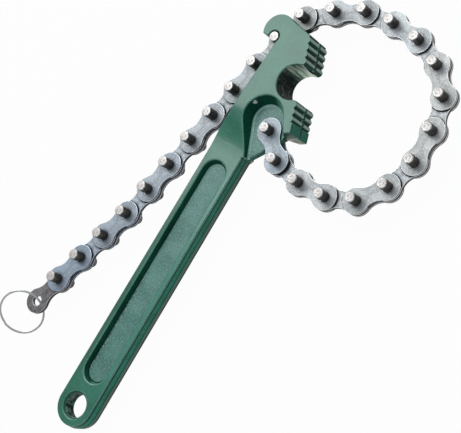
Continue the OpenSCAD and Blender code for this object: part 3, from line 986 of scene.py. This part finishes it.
# Painted reflection: the links of the tail are darkened and cooled towards its end.
TAIL_SHADE_FROM = 16
TAIL_SHADE = Vector((0.38, 0.27, 0.12))
GLARE_AT = 15.5
GLARE_WIDE = 4.0
GLARE = 0.28
BASE_SHADE = 1.25
FIRST_TINT = (0.94, 1.02, 1.12, 1.0)
chance = random.Random(7)


def link_tint(k):
    glare = GLARE * math.exp(-((k - GLARE_AT) / GLARE_WIDE) ** 2)
    shade = (BASE_SHADE - glare) * (1 + TINT * chance.uniform(-1, 1))
    warm = TINT_WARM * chance.uniform(-1, 1)
    tail_shade = TAIL_SHADE * max(0.0, (k - TAIL_SHADE_FROM) / (LINKS - TAIL_SHADE_FROM))
    if k == 1:
        return FIRST_TINT
    if k == LINKS:
        return WHITE
    return tuple(shade * (1 + hue) * (1 - loss) for hue, loss in zip((warm, 0.0, -warm), tail_shade)) + (1.0,)


tints = [link_tint(k) for k in range(1, LINKS + 1)]
greens = [tint[1] for tint in tints]
print("shades from", round(min(greens), 2), "to", round(max(greens), 2))

# %% The 26 links
RIM = 0.16 * MM
RIM_STEPS = 2
STAMPED_ANGLE = 60
joint_place = {j["child"]: Vector(j["pos_m"]) for j in frame["joints"]}
pins_at = [joint_place[f"link_{k:02d}"] for k in range(1, LINKS + 1)] + [joint_place["ring"]]
nodes_of = frame["record"]["behaviour"]["bodies"]
for k in range(1, LINKS + 1):
    body = f"link_{k:02d}"
    outer = k % 2 == 1
    last = k == LINKS
    along = pins_at[k] - pins_at[k - 1]
    gap = BOSS_T if k == 1 else INNER_T
    link = grow(f"chain_{body}", link_tree, {
        "Pitch": PITCH, "End Radius": END_R, "Waist Radius": WAIST_R, "Hole Radius": HOLE_R,
        "Plates": 2 if outer else 1, "Plate Thickness": OUTER_T if outer else INNER_T,
        "Plate Spacing": gap + 2 * SIDE_FIT + OUTER_T if outer else 0.0,
        "Pins": 2 if outer else 0, "Pin Radius": PIN_R, "Pin Length": PIN_LENGTH,
        "Pin Chamfer": PIN_CHAMFER, "Middle": (pins_at[k] + pins_at[k - 1]) / 2,
        "Heading": math.atan2(along.y, along.x), "Tint": tints[k - 1],
        "Face": end_face if last else plate_face if outer else inner_face,
        "Wall": plate_wall_shade, "Pin Side": pin_side_shade, "Pin End": pin_end})
    stamped = [i for i, m in enumerate(link.data.materials) if m in plate_steels]
    broken = break_edges(link.data, RIM, lambda e: (
        is_sharp(e, STAMPED_ANGLE) and all(f.material_index in stamped for f in e.link_faces)),
        end_rim_highlight if last else plate_rim_highlight, RIM_STEPS)
    smooth(link)
    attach(link, body)
    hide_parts(*nodes_of[body])
    if k in (1, 2, LINKS):
        print(link.name, len(link.data.polygons), "faces", broken, "edges broken")

# %% [markdown]
# The ring at the chain's end is a split ring of flat wire, wound twice. A spiral curve with no change
# of radius and the height of one wire per turn gives that winding; a small ellipse swept along it gives
# the wire.

# %% Split ring tree
COIL_STEPS = 72
WIRE_STEPS = 12
WIRE_FLAT = (2, 1, 1)

ring_tree, given, ring_out = new_tree("split_ring", [
    ("Radius", "NodeSocketFloat"), ("Wire", "NodeSocketFloat"), ("Turns", "NodeSocketFloat"),
    ("Tint", "NodeSocketColor"), ("Material", "NodeSocketMaterial")])
tree = ring_tree
rise = maths(tree, "MULTIPLY", given["Wire"], given["Turns"])
coil = add(tree, "GeometryNodeCurveSpiral", inputs={
    "Resolution": COIL_STEPS, "Rotations": given["Turns"], "Start Radius": given["Radius"],
    "End Radius": given["Radius"], "Height": rise}).outputs[0]
coil = moved(tree, coil, z=maths(tree, "MULTIPLY", rise, -0.5))
coil = add(tree, "GeometryNodeSetCurveNormal", {"mode": "Z_UP"}, {"Curve": coil}).outputs[0]
wire = add(tree, "GeometryNodeCurvePrimitiveCircle", inputs={
    "Resolution": WIRE_STEPS, "Radius": maths(tree, "MULTIPLY", given["Wire"], 0.5)}).outputs[0]
wire = add(tree, "GeometryNodeTransform", inputs={"Geometry": wire, "Scale": WIRE_FLAT}).outputs[0]
tube = add(tree, "GeometryNodeCurveToMesh", inputs={
    "Curve": coil, "Profile Curve": wire, "Fill Caps": True}).outputs[0]
tube = keep_tint(tree, keep_place(tree, tube), given["Tint"])
tube = add(tree, "GeometryNodeRealizeInstances", inputs={"Geometry": tube}).outputs[0]
tree.links.new(coat(tree, tube, given["Material"]), ring_out)
print("ring tree with", len(tree.nodes), "nodes")

# %% Split ring
RING_R = 11.1 * MM
RING_WIRE = 0.49 * MM
RING_TURNS = 2.0
RING_SHIFT = Vector((0.5, 0.45, 0.0)) * MM
RING_TILT = 40.0

ring = grow("split_ring", ring_tree, {
    "Radius": RING_R, "Wire": RING_WIRE, "Turns": RING_TURNS, "Tint": WHITE, "Material": ring_wire})
low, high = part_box("wire_ring")
centre = (low + high) / 2
hole_to_ring = centre - joint_place["ring"]
ring_heading = math.atan2(hole_to_ring.y, hole_to_ring.x)
ring.data.transform(Matrix.Translation(centre + RING_SHIFT) @ Matrix.Rotation(ring_heading, 4, "Z")
                    @ Matrix.Rotation(math.radians(-RING_TILT), 4, "X"))
smooth(ring)
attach(ring, "ring")
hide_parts("wire_ring")
print("ring", [round(v / MM, 2) for v in centre], len(ring.data.polygons), "faces")

# %% [markdown]
# The handle is one forging, and its CAD mesh already has the right form, so a copy of it is used. The
# copy's loose triangles are merged and its flat faces dissolved into single faces, which leaves only
# real edges.

# %% Handle mesh
SAME_POINT = 0.002 * MM
FLAT_ANGLE = 0.4

handle_mesh = frame["nodes"]["handle"].data.copy()
handle_mesh.name = "enamelled_handle"
handle = bpy.data.objects.new("enamelled_handle", handle_mesh)
scene.collection.objects.link(handle)
with editing(handle_mesh) as work:
    bmesh.ops.remove_doubles(work, verts=work.verts, dist=SAME_POINT)
    bmesh.ops.dissolve_limit(work, angle_limit=math.radians(FLAT_ANGLE), verts=work.verts, edges=work.edges)
print("handle merged to", len(handle_mesh.polygons), "faces")

# %% [markdown]
# The real edges are then rounded, widely on the body and finely on the teeth. Outer edges get a paler
# coat, thin enamel with a painted highlight, inner corners a coat of painted shade, and the ridge round
# the pocket's floor a painted highlight. The teeth are found by their depth under the leaning face of
# their jaw block.

# %% Handle edges
EDGE_R = 0.45 * MM
CORNER_R = 0.35 * MM
RIDGE_R = 0.7 * MM
TOOTH_EDGE_R = 0.14 * MM
EDGE_ANGLE = 24
TOOTH_ANGLE = 35
FINE_STEPS = 2
GAP_CENTRE = Vector((15.2, 181.6)) * MM
LOWER_BLOCK = Vector((28.1, 160.4)) * MM
LOWER_LEAN = math.radians(20)
UPPER_BLOCK = Vector((16.3, 191.5)) * MM
UPPER_LEAN = math.radians(22.5)
BLOCK_FOOT = 2 * MM
TOOTH_DEPTH = 1.3 * MM
POCKET_LOW = 140.0 * MM
POCKET_FLOOR = 2.0 * MM
NEAR = 0.1 * MM


def tooth_depth(point):
    corner, lean = (LOWER_BLOCK, LOWER_LEAN) if point.y < GAP_CENTRE.y else (UPPER_BLOCK, UPPER_LEAN)
    return (corner - point).dot(Vector((math.cos(lean), math.sin(lean))))


def on_teeth(edge):
    middle = ((edge.verts[0].co + edge.verts[1].co) / 2).xy
    return tooth_depth(middle) < TOOTH_DEPTH and middle.y > LOWER_BLOCK.y - BLOCK_FOOT


def on_ridge(edge):
    return all(v.co.y > POCKET_LOW and abs(abs(v.co.z) - POCKET_FLOOR) < NEAR for v in edge.verts)


def outer_edge(edge):
    return is_sharp(edge, EDGE_ANGLE) and edge.is_convex and not on_teeth(edge)


def inner_corner(edge):
    return is_sharp(edge, EDGE_ANGLE) and not edge.is_convex and not on_teeth(edge) and not on_ridge(edge)


def ridge_edge(edge):
    return is_sharp(edge, EDGE_ANGLE) and not edge.is_convex and on_ridge(edge)


def tooth_edge(edge):
    return is_sharp(edge, TOOTH_ANGLE) and on_teeth(edge)


handle_mesh.materials.clear()
for material in (green_enamel, cast_enamel, cut_steel, shaded_wall_enamel, side_enamel, worn_steel):
    handle_mesh.materials.append(material)
edges = break_edges(handle_mesh, EDGE_R, outer_edge, thin_edge_highlight_enamel)
corners = break_edges(handle_mesh, CORNER_R, inner_corner, corner_shade_enamel, FINE_STEPS)
ridges = break_edges(handle_mesh, RIDGE_R, ridge_edge, ridge_highlight_enamel, FINE_STEPS)
teeth = break_edges(handle_mesh, TOOTH_EDGE_R, tooth_edge, steps=FINE_STEPS)
print("edges rounded", edges, "corners", corners, "ridge", ridges, "teeth", teeth)

# %% [markdown]
# In the CAD model the ramp from the grip up to the head ends in two straight creases. On the forging
# they are soft, so the mesh is cut into narrow strips there and lifted or lowered: the foot follows a
# curve that touches both the grip and the ramp, and the brow follows a parabola.

# %% Curve of the ramp
RAMP_TOP = 157.0 * MM
GRIP_FRONT = 4.4 * MM
HEAD_FRONT = 8.7 * MM
BROW = 5.5 * MM
POCKET_LEFT = 8.0 * MM
STEEP = (HEAD_FRONT - GRIP_FRONT) / (RAMP_TOP - RAMP_LOW)


def ramp_change(point):
    up = point.y - RAMP_LOW
    change = 0.0
    if -FOOT_BELOW < up < FOOT_ABOVE:
        longer = FOOT_ABOVE - FOOT_BELOW
        along = (math.sqrt(FOOT_BELOW ** 2 + longer * (FOOT_BELOW + up)) - FOOT_BELOW) / longer
        change = STEEP * (FOOT_ABOVE * along ** 2 - max(up, 0.0))
    left = BROW - abs(point.y - RAMP_TOP)
    if left > 0 and point.x < POCKET_LEFT:
        change -= STEEP * left ** 2 / (4 * BROW)
    return change


def below_front(point):
    up = min(max(point.y - RAMP_LOW, 0.0), RAMP_TOP - RAMP_LOW)
    return GRIP_FRONT + STEEP * up - abs(point.z)


print("ramp rises", round(STEEP, 3))

# %% Soft ends of the ramp
STRIP = 1.0 * MM
LYING = 0.2
SKIN = 0.9 * MM
SKIN_FADE = 0.4 * MM
CLOSE = 0.05 * MM
TINY = 0.001 * MM

strips = round((RAMP_TOP + BROW - RAMP_LOW + FOOT_BELOW) / STRIP)
shifted = 0
with editing(handle_mesh) as work:
    for k in range(strips + 1):
        y = RAMP_LOW - FOOT_BELOW + k * STRIP
        crossed = [f for f in work.faces if abs(f.normal.z) > LYING and (
            min(v.co.y for v in f.verts) < y < max(v.co.y for v in f.verts))]
        edges = {e for f in crossed for e in f.edges}
        verts = {v for f in crossed for v in f.verts}
        bmesh.ops.bisect_plane(work, geom=list(verts) + list(edges) + crossed, dist=TINY,
                               plane_co=(0, y, 0), plane_no=(0, 1, 0))
    for vert in work.verts:
        depth = below_front(vert.co)
        change = min(max((SKIN - depth) / SKIN_FADE, 0.0), 1.0) * ramp_change(vert.co)
        if change and depth > -CLOSE:
            vert.co.z += change if vert.co.z > 0 else -change
            shifted += 1
    bmesh.ops.remove_doubles(work, verts=work.verts, dist=TINY)
    bmesh.ops.dissolve_degenerate(work, dist=TINY, edges=work.edges)
    work.normal_update()
print("ramp cut into", strips, "strips,", shifted, "points moved")

# %% [markdown]
# Each face of the handle gets its coat from where it lies and where it looks. A face on the cast floors
# lies deep and looks forward, and the cut walls lie at the radius of the gap or of the hanging hole.
# Between the teeth the valleys and flanks get the dark coats of painted shade, and their crests have the
# coat of the front.

# %% Coats of the handle
CAST_FLOOR = 2.4 * MM
GAP_R = 8.7 * MM
HANG_R = 6.0 * MM
HANG_RIM = 1.0 * MM
TOOTH_FACE_LOW = 165.3 * MM
VALLEY = 0.55 * MM
CREST = 0.16 * MM
UNDER_LOW = 156 * MM
UNDER_TOP = LOWER_BLOCK.y + 0.5 * MM
UNDERSIDE = Vector((0.47, -0.88))
LOOKS_ALIKE = 0.9
FORWARD = 0.9
UPRIGHT = 0.3
LEANING = 0.92
LEFTWARD = -0.1


# Painted shade: the valleys and flanks of the teeth get the dark coats.
def coat_of_tooth(depth):
    if depth > VALLEY:
        return corner_shade_enamel
    return green_enamel if depth < CREST else shaded_wall_enamel


def coat_of_side(middle, normal):
    depth = tooth_depth(middle)
    if depth < TOOTH_DEPTH and middle.y > TOOTH_FACE_LOW:
        return coat_of_tooth(depth)
    if abs((middle - GAP_CENTRE).length - GAP_R) < NEAR or abs(middle.length - HANG_R) < NEAR:
        return cut_steel
    under = UNDER_LOW < middle.y < UNDER_TOP and normal.dot(UNDERSIDE) > LOOKS_ALIKE
    return worn_steel if under else side_enamel


def coat_of(middle, normal):
    if abs(normal.z) > FORWARD and abs(middle.z) < CAST_FLOOR:
        return cast_enamel
    if abs(normal.z) < UPRIGHT:
        return coat_of_side(middle.xy, normal.xy)
    # Painted shade: leaning walls that face away from the soft box get the darker wall coat.
    if abs(normal.z) < LEANING and normal.x > LEFTWARD:
        return shaded_wall_enamel
    return green_enamel


slot_of = {material.name: index for index, material in enumerate(handle_mesh.materials)}
rounded = {slot_of[material.name] for material in (thin_edge_highlight_enamel, corner_shade_enamel, ridge_highlight_enamel)}
for polygon in handle_mesh.polygons:
    if polygon.material_index not in rounded:
        polygon.material_index = slot_of[coat_of(polygon.center, polygon.normal).name]
    elif polygon.center.xy.length < HANG_R + HANG_RIM:
        polygon.material_index = slot_of[green_enamel.name]
print("coats on the handle", list(slot_of))

# %% [markdown]
# The rounded edges are shaded smooth. The first narrow face of a rounding still looks almost forward,
# and smooth shading would bleed its turn into the flat beside it. So the line between them is marked
# sharp, and the flats stay flat.

# %% Handle shading
SMOOTH_ANGLE = 35
CREASE_ANGLE = 10

smooth(handle, SMOOTH_ANGLE)
with editing(handle_mesh) as work:
    for edge in work.edges:
        flat = all(abs(face.normal.z) > FORWARD for face in edge.link_faces)
        if flat and is_sharp(edge, CREASE_ANGLE):
            edge.smooth = False
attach(handle, "handle")
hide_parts("handle")
print("handle", len(handle_mesh.polygons), "faces")
